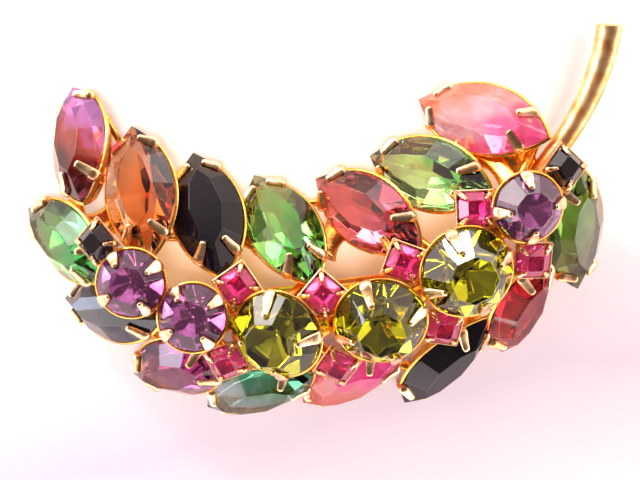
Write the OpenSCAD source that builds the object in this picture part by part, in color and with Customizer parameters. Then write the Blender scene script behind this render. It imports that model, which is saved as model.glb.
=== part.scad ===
// Leaf brooch: 31 claw-set stones on one soldered frame, with a stem and a pin at the back.
// Millimetres, +Z up. The brooch lies on its back, with the stem at the upper right.

/* [Stones] */
// Length of a navette stone
navette_l = 18; // [17.5:0.1:18.2]
// Width of a navette stone
navette_w = 9; // [8.6:0.1:9.1]
// Height of a navette's table above its girdle
navette_crown = 2.2; // [1.8:0.1:2.4]
// Diameter of the three large round stones
large_d = 11; // [10:0.5:11]
// Diameter of the three middle round stones
middle_d = 8.1; // [8:0.1:8.5]
// Width of the ten small cushion-shaped stones
small_d = 4; // [3.8:0.1:4.2]
// How far the corners of a small stone stand out past its circle
small_corner = 0.25; // [0.2:0.05:0.3]
// Height of a round stone's table above its girdle, as a share of its radius
round_crown = 0.6; // [0.45:0.05:0.65]
// Slope of the facets under the girdle, in degrees
pavilion_slope = 34; // [28:1:36]
// Thickness of the girdle
girdle_t = 0.4; // [0.3:0.05:0.5]

/* [Setting] */
// Wall of a cup
wall = 0.35; // [0.3:0.05:0.45]
// Wall of a small cup
small_wall = 0.2; // [0.15:0.05:0.3]
// Gap between a stone and the metal round it
gap = 0.08; // [0.06:0.01:0.1]
// Depth of a navette cup under the girdle
navette_cup_h = 2.4; // [2.2:0.1:2.6]
// Thickness of a claw
claw_t = 0.4; // [0.3:0.05:0.5]
// Width of a claw on a navette cup
navette_claw_w = 1.2; // [0.9:0.1:1.3]
// Width of a claw on a large or middle round cup
round_claw_w = 1.4; // [1.2:0.1:1.6]
// Width of a claw on a small cup
small_claw_w = 0.6; // [0.5:0.05:0.7]

/* [Stem] */
// Diameter of the stem at its cut end
stem_tip_d = 3; // [2.6:0.1:3.4]
// Diameter of the stem where it joins the frame
stem_root_d = 2.4; // [2.2:0.1:2.8]

/* [Pin] */
// Width of the strip that carries the pin
strip_w = 2.4; // [2:0.2:3]
// Thickness of that strip
strip_t = 0.8; // [0.6:0.1:1]
// Diameter of the pin
pin_d = 1; // [0.8:0.1:1.2]

/* [Hidden] */
// Columns of the stone table
KIND = 0;
PLACE = 1;
HEADING = 2;
PITCH = 3;
ROLL = 4;
TURN = 5;
COLOUR = 6;

// A navette heads along its length, outwards, and a round stone heads the way that it leans.
// Pitch lowers the end that heads outwards, roll lifts the side on the left of that way,
// and turn spins a round stone in its cup.
stones = [
    // kind, [x, y, z] of the girdle's middle, heading, pitch, roll, turn, colour
    ["navette", [-30.6, 12.6, 6.5], 104, 39, -25, 0, "#8c4a7c"],
    ["navette", [-22.9, 6.5, 7], 101, 26, -4, 0, "#c06a3c"],
    ["navette", [-14.5, 3.6, 6.2], 108, 33, 9, 0, "#1c1a22"],
    ["navette", [-4.7, 1.7, 6.4], 124, 36, 17, 0, "#6fae58"],
    ["navette", [5.9, 3.9, 6.5], 151, 37, -3, 0, "#b0486a"],
    ["navette", [13.8, 8.7, 6.6], 166, 37, 2, 0, "#79ac62"],
    ["navette", [20.4, 15.7, 6.1], 164, 33, 16, 0, "#f0558c"],
    ["navette", [33.6, 1.2, 4.5], 278, 17, -24, 0, "#7fa05a"],
    ["navette", [-32.8, 0, 6.6], 151, 38, -15, 0, "#79b46c"],
    ["navette", [-27.3, -9, 6.4], 179, 35, -2, 0, "#6c6a74"],
    ["navette", [-18.9, -17.1, 6.5], 200, 37, -13, 0, "#9a4f8a"],
    ["navette", [-8.3, -20.7, 5.2], 205, 25, -32, 0, "#4f7f62"],
    ["navette", [3.9, -18.9, 5.5], 217, 29, -32, 0, "#ee6f78"],
    ["navette", [16.6, -16.8, 4.9], 234, 22, -40, 0, "#1c1a22"],
    ["navette", [26.4, -8.9, 5.7], 260, 32, -34, 0, "#a02630"],
    ["middle", [-23, -3.9, 14.1], 87, 7, 0, 35, "#8658a4"],
    ["middle", [-15.5, -8, 14.9], 88, 10, 0, 35, "#8658a4"],
    ["large", [-5.3, -10.3, 14.6], 206, 21, 0, 70, "#8e9a1e"],
    ["large", [7.4, -8.7, 14.6], 267, 14, 0, 24, "#8e9a1e"],
    ["large", [17.8, -2.5, 14.6], 316, 9, 0, 69, "#8e9a1e"],
    ["middle", [24.9, 5.4, 14.4], 342, 5, 0, 26, "#7c5c9c"],
    ["small", [-10.2, -4.6, 12.3], 90, 12, 0, 35, "#d81e74"],
    ["small", [0.4, -5.5, 13.3], 90, 10, 0, 50, "#d81e74"],
    ["small", [10.3, -1.5, 13.2], 90, 10, 0, 70, "#d81e74"],
    ["small", [18.7, 5.1, 13.4], 90, 10, 0, 92, "#d81e74"],
    ["small", [26.1, -1.4, 12.8], 300, 10, 0, 60, "#d81e74"],
    ["small", [-11.53, -13.89, 13.95], 250, 15, 0, 45, "#d81e74"],
    ["small", [2.2, -15.1, 12], 270, 18, 0, 60, "#d81e74"],
    ["small", [15.4, -10, 12.3], 290, 12, 0, 60, "#d81e74"],
    ["small", [-27.2, 0.9, 12.9], 170, 20, 0, 55, "#2c1c26"],
    ["small", [29.7, 9.9, 11.8], 30, 20, 0, 20, "#2c1c26"]
];
navettes = 15;
rounds = 6;

// The middle of the brooch, which comes to lie over the origin
middle = [-0.64, 0.64, -0.06];

function two_digits(n) = str(n < 10 ? "0" : "", n);
function stone_name(i) =
    i < navettes ? str("navette_", two_digits(i + 1))
    : i < navettes + rounds ? str("chaton_", two_digits(i - navettes + 1))
    : str("small_chaton_", two_digits(i - navettes - rounds + 1));
$fn = 48;

// Shapes of the stones
facets = 8;
navette_table = [0.605 * navette_l / 2, 0.47 * navette_w / 2];
shoulder = [0.67 * navette_table.x, 0.65 * navette_table.y];
navette_run = 2.4;
round_table_share = 0.5;
round_reach = 0.97;
arc_r = (pow(navette_l / 2, 2) + pow(navette_w / 2, 2)) / navette_w;
arc_c = arc_r - navette_w / 2;

function radius(kind) = (kind == "large" ? large_d : kind == "middle" ? middle_d : small_d) / 2;
function crown_h(kind) = kind == "navette" ? navette_crown : round_crown * radius(kind);
function crown_run(kind) = kind == "navette" ? navette_run : (round_reach - round_table_share) * radius(kind);
function corner(kind, k) = kind == "small" && k % 2 == 1 ? small_corner : 0;
function crown_slope(kind) = atan((crown_h(kind) - girdle_t / 2) / crown_run(kind));
function pavilion_h(kind) =
    girdle_t / 2 + 0.92 * (kind == "navette" ? navette_w / 2 : radius(kind)) * tan(pavilion_slope);
function table(kind) = kind == "navette"
    ? [[navette_table.x, 0], shoulder, [0, navette_table.y], [-shoulder.x, shoulder.y],
       [-navette_table.x, 0], -shoulder, [0, -navette_table.y], [shoulder.x, -shoulder.y]]
    : [for (k = [0:facets - 1]) let (a = (k - 0.5) * 360 / facets)
       round_table_share * radius(kind) / cos(180 / facets) * [cos(a), sin(a)]];

// The way that the edge from p to q faces, and how far it lies from the middle
function facing(p, q) = atan2(p.x - q.x, q.y - p.y);
function edge_reach(p, q) = p * [cos(facing(p, q)), sin(facing(p, q))];

// Height of the crown's facets over a point p
function crown_z(kind, p) = let (t = table(kind)) min(crown_h(kind), min([for (k = [0:facets - 1])
    let (u = t[k], v = t[(k + 1) % facets], f = facing(u, v),
         reach = edge_reach(u, v) + crown_run(kind) + corner(kind, k))
    girdle_t / 2 + (reach - p * [cos(f), sin(f)]) * tan(crown_slope(kind))]));

// Inner half width of a round or small cup at its foot
function foot_r(kind) = (kind == "small" ? 0.45 : 0.5) * (radius(kind) + gap);

// Depth of a cup under its stone's girdle
function cup_h(kind) = kind == "navette" ? navette_cup_h : pavilion_h(kind) + 0.35;

module outline(kind) {
    if (kind == "navette") intersection() {
        translate([0, -arc_c]) circle(r = arc_r, $fn = 180);
        translate([0, arc_c]) circle(r = arc_r, $fn = 180);
    }
    else if (kind == "small") intersection() {
        square(small_d, center = true);
        circle(r = small_d / 2 + small_corner);
    }
    else circle(r = radius(kind));
}

// Takes away what lies past a facet, which faces the way a and passes reach from the middle at height z.
module grind(a, reach, z, slope) {
    block = 40;
    rotate([0, 0, a]) translate([reach, 0, z]) rotate([0, slope, 0])
        translate([-block / 2, -block / 2, 0]) cube(block);
}

module cut_stone(kind) {
    t = table(kind);
    difference() {
        translate([0, 0, -pavilion_h(kind)]) linear_extrude(pavilion_h(kind) + crown_h(kind)) outline(kind);
        for (k = [0:facets - 1]) {
            p = t[k];
            q = t[(k + 1) % facets];
            reach = edge_reach(p, q) + crown_run(kind) + corner(kind, k);
            grind(facing(p, q), reach, girdle_t / 2, crown_slope(kind));
            grind(facing(p, q), reach, -girdle_t / 2, 180 - pavilion_slope);
        }
    }
}

module placed(s) {
    translate(s[PLACE]) rotate([s[ROLL], s[PITCH], s[HEADING]]) rotate([0, 0, s[TURN]]) children();
}

module stone(i) {
    color(stones[i][COLOUR]) translate(-middle) placed(stones[i]) cut_stone(stones[i][KIND]);
}

// A skin over rows of points, each row a loop. It closes into a ring, or else its two ends are capped.
module skin(rows, ring = false) {
    n = len(rows[0]);
    m = len(rows);
    polyhedron(
        [for (row = rows) each row],
        concat(
            [for (j = [0:m - (ring ? 1 : 2)], i = [0:n - 1])
                let (a = j * n + i, b = j * n + (i + 1) % n,
                     c = (j + 1) % m * n + (i + 1) % n, d = (j + 1) % m * n + i)
                each [[a, c, b], [a, d, c]]],
            ring ? [] : [[for (i = [0:n - 1]) i], [for (i = [0:n - 1]) m * n - 1 - i]]
        )
    );
}
function at_z(points, z) = [for (p = points) [p.x, p.y, z]];

// Outline of a navette, grown by d, with its chords outside the true arc
arc_steps = 6;
sagitta = arc_r * (1 - cos(acos(arc_c / arc_r) / arc_steps));
function half_lens(d) = let (r = arc_r + sagitta + d, a = acos(arc_c / r))
    [for (i = [0:arc_steps - 1]) let (t = a - 2 * a * i / arc_steps) [r * sin(t), r * cos(t) - arc_c]];
function lens(d) = concat(half_lens(d), -half_lens(d));
function circle_points(r, n) = [for (i = [0:n - 1]) r / cos(180 / n) * [cos(360 * i / n), sin(360 * i / n)]];

// The wall of a cup starts just under the girdle and narrows downwards. Level 0 is the girdle's middle.
seat = 0.25;

// A navette cup is open at its outer tip. The rows in top are lowered there towards the rows in foot.
function lowered(top, foot) = [for (i = [0:len(top) - 1])
    let (u = 0.9 * min(1, max(0, (top[i].x - 6.5) / 2.6))) (1 - u) * top[i] + u * foot[i]];

draw_in = 1.5;
module navette_band() {
    in_foot = at_z(lens(-draw_in), -navette_cup_h);
    out_foot = at_z(lens(wall - draw_in), -navette_cup_h);
    skin([
        lowered(at_z(lens(gap + wall), -seat), out_foot), lowered(at_z(lens(gap), -seat), in_foot),
        in_foot, out_foot
    ], ring = true);
}

module round_band(kind) {
    sides = 16;
    r = radius(kind) + gap;
    foot = foot_r(kind);
    skin([
        at_z(circle_points(r + wall, sides), -seat), at_z(circle_points(r, sides), -seat),
        at_z(circle_points(foot, sides), -cup_h(kind)), at_z(circle_points(foot + wall, sides), -cup_h(kind))
    ], ring = true);
}

module small_band() {
    side = small_d / 2 + gap;
    foot = foot_r("small");
    function square_points(h) = [[h, h], [-h, h], [-h, -h], [h, -h]];
    skin([
        at_z(square_points(side + small_wall), -seat), at_z(square_points(side), -seat),
        at_z(square_points(foot), -cup_h("small")), at_z(square_points(foot + small_wall), -cup_h("small"))
    ], ring = true);
}

// A claw rises outside the girdle at the point foot, and lies over the crown up to the point tip.
// Under the girdle it slants inwards with the wall of its cup.
module claw(kind, foot, tip, w, tip_w, out) {
    root = 0.8;
    tuck = 0.4;
    outwards = kind == "navette" ? foot + [0, arc_c] : foot;
    n = outwards / norm(outwards);
    way = (foot - tip) / norm(foot - tip);
    lift = (gap + 0.03) / cos(crown_slope(kind));
    tip_t = 0.6 * claw_t / cos(crown_slope(kind));
    function left(d) = [-d.y, d.x];
    function row(in, out, across, in_z, out_z) = [
        [in.x + across.x, in.y + across.y, in_z[0]], [in.x - across.x, in.y - across.y, in_z[1]],
        [out.x - across.x, out.y - across.y, out_z[1]], [out.x + across.x, out.y + across.y, out_z[0]]
    ];
    function upright(out, z, dz) =
        row(foot + out * n, foot + (out + claw_t) * n, left(n) * w / 2, [z, z], [z + dz, z + dz]);
    function lying(w) =
        let (across = left(way) * w / 2,
             z = [crown_z(kind, tip + across) + lift, crown_z(kind, tip - across) + lift])
        row(tip, tip, across, z, z + [tip_t, tip_t]);
    skin([
        upright(out - tuck, -root, 0), upright(out, girdle_t / 2 + lift, 0.2),
        lying(tip_w)
    ]);
}

module mirrored_y() {
    children();
    mirror([0, 1, 0]) children();
}

module navette_cup() {
    navette_band();
    // x of each foot on the girdle, and where the claw ends
    for (c = [[5.95, [6.75, 0.95]], [-6.4, [-4.9, 1.3]]]) mirrored_y()
        claw("navette", [c[0], sqrt(arc_r * arc_r - c[0] * c[0]) - arc_c], c[1],
            navette_claw_w, 0.6 * navette_claw_w, gap + 0.12);
}

module round_cup(kind) {
    r = radius(kind);
    round_band(kind);
    for (k = [0:3]) rotate([0, 0, 90 * k])
        claw(kind, [r, 0], [0.66 * r, 0], round_claw_w, 0.6 * round_claw_w, gap + 0.12);
}

module small_cup() {
    r = small_d / 2;
    small_band();
    diagonal = [1, 1] / sqrt(2);
    for (k = [0:3]) rotate([0, 0, 90 * k])
        claw("small", r * diagonal, 0.78 * r * diagonal, small_claw_w, small_claw_w, 0.45);
}

module cup(kind) {
    if (kind == "navette") navette_cup();
    else if (kind == "small") small_cup();
    else round_cup(kind);
}

// Where a point of a stone's own frame comes to lie in the brooch
function spun(v, a) = [v.x * cos(a) - v.y * sin(a), v.x * sin(a) + v.y * cos(a)];
function in_place(s, p) =
    let (yz = spun([p.y, p.z], s[ROLL]), zx = spun([yz.y, p.x], s[PITCH]),
         xy = spun([zx.y, yz.x], s[HEADING]))
    s[PLACE] + [xy.x, xy.y, zx.x];

// A point in the wall of a navette cup, at a place x along it and a height z, on its left or right
LEFT = 1;
RIGHT = -1;
function in_wall(i, x, side, z) =
    let (share = (-z - seat) / (navette_cup_h - seat),
         r = arc_r + sagitta + wall / 2 + (1 - share) * gap - share * draw_in)
    in_place(stones[i], [x, side * (sqrt(r * r - x * x) - arc_c), z]);

// A point in the foot of stone i's cup, on the side towards stone j, or in a navette cup's inner end
function in_foot(i, j) =
    let (s = stones[i], kind = s[KIND], c = in_place(s, [0, 0, -0.1 - cup_h(kind)]),
         n = (s[PLACE] - c) / norm(s[PLACE] - c), away = stones[j][PLACE] - s[PLACE],
         across = away - (away * n) * n)
    kind == "navette" ? in_place(s, [-7.1, 0, -2.4]) : c + (foot_r(kind) - 0.25) * across / norm(across);

side_wire_d = 1;
side_wires = [
    // navette, x, side, z, navette, x, side, z
    [0, 3.5, RIGHT, -1.9, 1, 6.5, LEFT, -1.3],
    [1, -6, RIGHT, -1.9, 2, -2, LEFT, -1.4],
    [2, -2, RIGHT, -1.9, 3, 3, LEFT, -1.3],
    [3, 3.5, RIGHT, -1.9, 4, 6.5, LEFT, -1.3],
    [4, 5.5, RIGHT, -1.9, 5, 6.5, LEFT, -1.3],
    [5, -1, RIGHT, -1.9, 6, 2, LEFT, -1.3],
    [0, -5, LEFT, -1.9, 8, 0.5, RIGHT, -1.3],
    [1, -3.5, LEFT, -1.3, 8, -4, RIGHT, -1.9],
    [8, 1, LEFT, -1.9, 9, 5.5, RIGHT, -1.3],
    [9, -4, LEFT, -1.9, 10, 1, RIGHT, -1.3],
    [10, -2.5, LEFT, -1.9, 11, 3.5, RIGHT, -1.3],
    [11, -6.5, LEFT, -1.9, 12, 3, RIGHT, -1.3],
    [12, -5, LEFT, -1.3, 13, 3, RIGHT, -1.3],
    [14, -3.5, LEFT, -1.3, 7, 4, RIGHT, -1.3]
];

under_wire_d = 1.25;
under_wires = [
    // the two stones that each wire joins
    [15, 16], [16, 17], [17, 18], [18, 19], [19, 20],
    [1, 15], [8, 15], [10, 17], [3, 17], [4, 19], [5, 20], [6, 20], [7, 20], [12, 18],
    [21, 16], [22, 18], [23, 19], [24, 20], [25, 19], [14, 25],
    [26, 16], [27, 17], [11, 27], [28, 19], [13, 28], [29, 15], [30, 20]
];

// Solder that fills the gap between two navette cups, w wide
web_t = 0.7;
web_z = -1.3;
webs = [
    // navette, x, side, navette, x, w
    [0, -3.5, LEFT, 8, 2, 3],
    [2, -3.6, RIGHT, 3, 0.4, 2.4],
    [5, -2.6, RIGHT, 6, -0.8, 4]
];

// Solder that fills the gap between two round cups
strap_w = 2.6;
strap_t = 0.7;
strap_z = -1.9;
straps = [[16, 17], [17, 18], [18, 19], [19, 20]];

// The middle of a round cup's wall at height z, on the side towards the point q, with the cup's axis
function at_wall(s, q, z) =
    let (c = in_place(s, [0, 0, z]), n = in_place(s, [0, 0, 1]) - s[PLACE], away = q - c, kind = s[KIND],
         across = away - (away * n) * n, top = radius(kind) + gap,
         r = top + wall / 2 - (top - foot_r(kind)) * (-z - seat) / (cup_h(kind) - seat))
    [c + r * across / norm(across), n];

// Points round the point c, square to the way that a wire runs there
function ring(c, way, r, sides) = let (
    n = way / norm(way), across = [n.y, -n.x, 0] / norm([n.y, -n.x]), up = cross(across, n)
) [for (q = circle_points(r, sides)) c + q.x * up + q.y * across];

module wire(from, to, d) {
    skin([for (p = [from, to]) ring(p, to - from, d / 2, 5)]);
}

module web(w) {
    side = w[2];
    skin([for (cup = [[w[0], w[1], side], [w[3], w[4], -side]])
        [for (q = [[1, 0], [-1, 0], [-1, -web_t], [1, -web_t]])
            in_wall(cup[0], cup[1] - side * q.x * w[5] / 2, cup[2], web_z + q.y)]]);
}

module strap(i, j) {
    a = at_wall(stones[i], stones[j][PLACE], strap_z);
    b = at_wall(stones[j], stones[i][PLACE], strap_z);
    way = (b[0] - a[0]) / norm(b[0] - a[0]);
    skin([for (end = [a, b]) let (n = end[1], across = cross(n, way) / norm(cross(n, way)))
        [for (q = [[-1, -1], [1, -1], [1, 1], [-1, 1]])
            end[0] + q.x * strap_w / 2 * across + q.y * strap_t / 2 * n]]);
}

// Corners of the curve that the stem follows, from its cut end
stem_corners = [[33.5, 26.7, 14], [33.3, 18.5, 12.5], [29.8, 12, 8.9], [26.6, 8.2, 8.4]];

module stem() {
    steps = 7;
    p = stem_corners;
    function bend(a) = let (u = 1 - a)
        u * u * u * p[0] + 3 * u * u * a * p[1] + 3 * u * a * a * p[2] + a * a * a * p[3];
    function way(a) = bend(a + 0.01) - bend(a - 0.01);
    function r(a) = (stem_tip_d + (stem_root_d - stem_tip_d) * a) / 2;
    skin([for (k = [0:steps]) let (a = k / steps) ring(bend(a), way(a), r(a), 10)]);
}

module setting_frame() {
    color("#d9a441") translate(-middle) {
        for (s = stones) placed(s) cup(s[KIND]);
        for (w = side_wires)
            wire(in_wall(w[0], w[1], w[2], w[3]), in_wall(w[4], w[5], w[6], w[7]), side_wire_d);
        for (w = under_wires) wire(in_foot(w[0], w[1]), in_foot(w[1], w[0]), under_wire_d);
        for (w = webs) web(w);
        for (w = straps) strap(w[0], w[1]);
        stem();
    }
}

// The pin hangs under a strip, between a hinge block and a catch.
strip_from = [-17, -9, 7.9];
strip_to = [18, -4.6, 7.9];
pin_drop = 5.6;

module pin_clasp() {
    run = strip_to - strip_from;
    l = norm(run);
    post = [2, 1.8];
    color("#d9a441") translate(strip_from - middle) rotate([0, 0, atan2(run.y, run.x)]) {
        translate([-1, -strip_w / 2, 0]) cube([l + 2, strip_w, strip_t]);
        for (x = [0, l]) translate([x - post.x / 2, -post.y / 2, -pin_drop - pin_d])
            cube([post.x, post.y, pin_drop + pin_d + 0.2]);
        translate([0, 0, -pin_drop]) rotate([0, 90, 0]) cylinder(h = l, d = pin_d);
    }
}

for (i = [0:len(stones) - 1]) stone(i);
setting_frame();
pin_clasp();
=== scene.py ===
# Leaf brooch: claw-set glass stones on a soldered, gold-plated frame, lying on a pale floor.
# Shapes are drafted in millimetres round the origin, and each copy is put in place in its mesh.
import math
from collections import namedtuple
from contextlib import contextmanager

import bpy
from mathutils import Matrix, Vector


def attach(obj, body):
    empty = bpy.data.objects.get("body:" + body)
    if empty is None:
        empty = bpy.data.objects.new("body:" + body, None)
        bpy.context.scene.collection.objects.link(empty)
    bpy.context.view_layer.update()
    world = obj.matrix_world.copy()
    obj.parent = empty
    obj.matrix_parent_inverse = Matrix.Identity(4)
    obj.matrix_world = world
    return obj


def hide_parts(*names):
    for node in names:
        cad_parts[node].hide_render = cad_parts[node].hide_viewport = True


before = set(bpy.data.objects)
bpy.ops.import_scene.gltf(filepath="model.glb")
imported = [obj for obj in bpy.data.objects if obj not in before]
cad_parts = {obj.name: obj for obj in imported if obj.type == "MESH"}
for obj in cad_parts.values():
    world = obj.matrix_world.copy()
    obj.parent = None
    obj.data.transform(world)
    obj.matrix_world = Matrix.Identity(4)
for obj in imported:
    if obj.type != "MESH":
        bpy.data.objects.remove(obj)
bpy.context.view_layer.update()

MM = 0.001
# The point of the stone table that lies over the origin
MIDDLE = Vector((-0.64, 0.64, -0.06))

Stone = namedtuple("Stone", "kind x y z heading pitch roll turn")
# A navette heads along its length, outwards, and a round stone heads the way that it leans.
# Pitch lowers the end that heads outwards, roll lifts the side on the left of that way,
# and turn spins a round stone in its cup. Places are those of the girdle's middle.
STONES = {
    "navette_01": Stone("navette", -30.6, 12.6, 6.5, 104, 39, -25, 0),
    "navette_02": Stone("navette", -22.9, 6.5, 7, 101, 26, -4, 0),
    "navette_03": Stone("navette", -14.5, 3.6, 6.2, 108, 33, 9, 0),
    "navette_04": Stone("navette", -4.7, 1.7, 6.4, 124, 36, 17, 0),
    "navette_05": Stone("navette", 5.9, 3.9, 6.5, 151, 37, -3, 0),
    "navette_06": Stone("navette", 13.8, 8.7, 6.6, 166, 37, 2, 0),
    "navette_07": Stone("navette", 20.4, 15.7, 6.1, 164, 33, 16, 0),
    "navette_08": Stone("navette", 33.6, 1.2, 4.5, 278, 17, -24, 0),
    "navette_09": Stone("navette", -32.8, 0, 6.6, 151, 38, -15, 0),
    "navette_10": Stone("navette", -27.3, -9, 6.4, 179, 35, -2, 0),
    "navette_11": Stone("navette", -18.9, -17.1, 6.5, 200, 37, -13, 0),
    "navette_12": Stone("navette", -8.3, -20.7, 5.2, 205, 25, -32, 0),
    "navette_13": Stone("navette", 3.9, -18.9, 5.5, 217, 29, -32, 0),
    "navette_14": Stone("navette", 16.6, -16.8, 4.9, 234, 22, -40, 0),
    "navette_15": Stone("navette", 26.4, -8.9, 5.7, 260, 32, -34, 0),
    "chaton_01": Stone("middle", -23, -3.9, 14.1, 87, 7, 0, 35),
    "chaton_02": Stone("middle", -15.5, -8, 14.9, 88, 10, 0, 35),
    "chaton_03": Stone("large", -5.3, -10.3, 14.6, 206, 21, 0, 70),
    "chaton_04": Stone("large", 7.4, -8.7, 14.6, 267, 14, 0, 24),
    "chaton_05": Stone("large", 17.8, -2.5, 14.6, 316, 9, 0, 69),
    "chaton_06": Stone("middle", 24.9, 5.4, 14.4, 342, 5, 0, 26),
    "small_chaton_01": Stone("small", -10.2, -4.6, 12.3, 90, 12, 0, 35),
    "small_chaton_02": Stone("small", 0.4, -5.5, 13.3, 90, 10, 0, 50),
    "small_chaton_03": Stone("small", 10.3, -1.5, 13.2, 90, 10, 0, 70),
    "small_chaton_04": Stone("small", 18.7, 5.1, 13.4, 90, 10, 0, 92),
    "small_chaton_05": Stone("small", 26.1, -1.4, 12.8, 300, 10, 0, 60),
    "small_chaton_06": Stone("small", -11.53, -13.89, 13.95, 250, 15, 0, 45),
    "small_chaton_07": Stone("small", 2.2, -15.1, 12, 270, 18, 0, 60),
    "small_chaton_08": Stone("small", 15.4, -10, 12.3, 290, 12, 0, 60),
    "small_chaton_09": Stone("small", -27.2, 0.9, 12.9, 170, 20, 0, 55),
    "small_chaton_10": Stone("small", 29.7, 9.9, 11.8, 30, 20, 0, 20),
}
NAMES = list(STONES)

# Sizes of the stones
NAVETTE_L, NAVETTE_W = 18, 9
RADIUS = {"large": 5.5, "middle": 4.05, "small": 2}
GIRDLE = 0.4
# How high the crown rises over the girdle's middle, and how far its facets run out from the table's edge
CROWN = {"navette": 2.2, "large": 3.3, "middle": 2.43, "small": 1.2}
RUN = {"navette": 2.4, "large": 2.585, "middle": 1.9, "small": 0.94}
# The tables as shares of the outline, and the shoulders of the navette's as shares of its table
NAVETTE_TABLE, SHOULDER = (0.605, 0.47), (0.67, 0.65)
ROUND_TABLE = 0.5
# The slope of the pavilion, how much steeper its lower halves are, and how near it comes to a point
PAVILION_SLOPE, LOWER_STEEPER = math.radians(34), math.radians(7)
PAVILION_REACH = 0.92
# The small stones are cushions, whose corners stand out past the circle.
SMALL_CORNER = 0.25
FACETS = 8
# Sides of a full circle, for a round stone and for the wide arcs of a navette
ROUND_SIDES, ARC_SIDES = 96, 240
# Polishing rounds the edges between facets by this much, where they turn by more than so many degrees.
ARRIS, ARRIS_ANGLE = 0.035, 7
# The outline of a navette is two arcs, each about a point ARC_C from its long axis.
ARC_R = (NAVETTE_L ** 2 / 4 + NAVETTE_W ** 2 / 4) / NAVETTE_W
ARC_C = ARC_R - NAVETTE_W / 2

# Sizes of the setting: the cups' walls, the gap round a stone, and how far under the girdle a wall ends
WALL, SMALL_WALL, GAP, SEAT = 0.35, 0.2, 0.08, 0.25
# How deep a navette cup goes, and how far its foot is drawn in
NAVETTE_CUP_H, DRAW_IN = 2.4, 1.5
# A navette cup bulges a little halfway down, and it is cut open at its outer tip.
BULGE_Z, BULGE = -NAVETTE_CUP_H / 2, (1.015, 1.02, 1)
TIP_CUT, TIP_CUT_WAY = (6.3, 0, -SEAT), (0.62, 0, 0.78)
# How far the floor of a round or small cup lies under its stone
CUP_FLOOR = 0.35
# The radius of such a cup's foot as a share of the stone's
FOOT_SHARE, SMALL_FOOT_SHARE = 0.5, 0.45
# Sides of a round cup, and the rounding of the cups' edges
CUP_SIDES = 64
CUP_EDGE, SMALL_CUP_EDGE = 0.1, 0.06
# A claw's middle line stands this far out from the girdle, and the claw lies a hair over the crown.
CLAW_CLEAR = GAP + 0.16
CLAW_LIFT = 0.03
# Width and thickness of a claw
CLAW_SIZE = {"navette": (1.35, 0.52), "round": (1.5, 0.5), "small": (0.58, 0.4)}
# Where a navette's two pairs of claws stand along the cup, and where their tips lie on the crown
NAVETTE_CLAWS = [(5.95, (6.75, 0.95)), (-6.4, (-4.9, 1.3))]
# Where the tips of the other claws lie, as a share of the radius, and how far out the small ones stand
ROUND_CLAW_TIP, SMALL_CLAW_TIP = 0.66, 0.84
SMALL_CLAW_OUT = 0.36
# The thin wire round a small cup: its radius, its height and how far inside the wall's face it runs
RIM_R, RIM_Z, RIM_IN = 0.14, -0.12, 0.06
SIDE_WIRE_D, UNDER_WIRE_D = 1.1, 1.3
# The turn between faces up to which they are shaded as one smooth surface
SMOOTH_ANGLE = math.radians(35)
# Places that are nearer than this count as the same one when faces and vertices are picked.
NEAR = 0.05


# Modelling as by hand

def pick(*objects):
    bpy.ops.object.select_all(action="DESELECT")
    for obj in objects:
        obj.select_set(True)
    bpy.context.view_layer.objects.active = objects[-1]


@contextmanager
def editing(obj, mode="VERT"):
    """Edit mode on obj, with all of it selected."""
    pick(obj)
    bpy.ops.object.mode_set(mode="EDIT")
    bpy.ops.mesh.select_mode(type=mode)
    bpy.ops.mesh.select_all(action="SELECT")
    yield
    bpy.ops.object.mode_set(mode="OBJECT")


def select_where(obj, mode, test):
    """Selects the vertices or faces of obj, which is being edited, whose place or middle passes the test."""
    bpy.ops.mesh.select_all(action="DESELECT")
    bpy.ops.object.mode_set(mode="OBJECT")
    for item in obj.data.vertices if mode == "VERT" else obj.data.polygons:
        item.select = test(item)
    bpy.ops.object.mode_set(mode="EDIT")


def apply_modifier(obj, kind, **settings):
    pick(obj)
    modifier = obj.modifiers.new(kind.title(), kind)
    for key, value in settings.items():
        setattr(modifier, key, value)
    bpy.ops.object.modifier_apply(modifier=modifier.name)


def round_edges(obj, width, segments=2, angle=30):
    """Rounds the edges that turn by more than the angle, in degrees."""
    apply_modifier(obj, "BEVEL", width=width, segments=segments, limit_method="ANGLE",
                   angle_limit=math.radians(angle))


def smooth_faces(obj):
    pick(obj)
    bpy.ops.object.shade_smooth_by_angle(angle=SMOOTH_ANGLE)


def slice_off(obj, point, normal, fill=True):
    """Cuts away what lies past a plane."""
    with editing(obj):
        bpy.ops.mesh.bisect(plane_co=point, plane_no=normal, use_fill=fill, clear_outer=True)


def joined(objects):
    pick(*objects)
    bpy.ops.object.join()
    return bpy.context.object


def copy_in_place(model, matrix, name):
    """A copy with a mesh of its own, which is moved to its place in the mesh."""
    piece = model.copy()
    piece.data = model.data.copy()
    piece.data.transform(matrix)
    piece.name = piece.data.name = name
    bpy.context.scene.collection.objects.link(piece)
    return piece


def outward(obj):
    """Merges doubles and points all the faces outwards."""
    with editing(obj):
        bpy.ops.mesh.remove_doubles(threshold=1e-4)
        bpy.ops.mesh.normals_make_consistent(inside=False)


def lens_wall(grow, low, high, ends="NGON"):
    """A navette outline, grown by an offset, as an upright wall from low to high."""
    bpy.ops.object.select_all(action="DESELECT")
    bpy.ops.mesh.primitive_cylinder_add(
        vertices=ARC_SIDES, radius=ARC_R + grow, depth=high - low, end_fill_type=ends,
        location=(0, -ARC_C, (low + high) / 2))
    wall = bpy.context.object
    bpy.ops.object.transform_apply(location=True)
    slice_off(wall, (0, 0, 0), (0, -1, 0), fill=False)
    apply_modifier(wall, "MIRROR", use_axis=(False, True, False), use_clip=True, merge_threshold=1e-3)
    return wall


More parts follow.
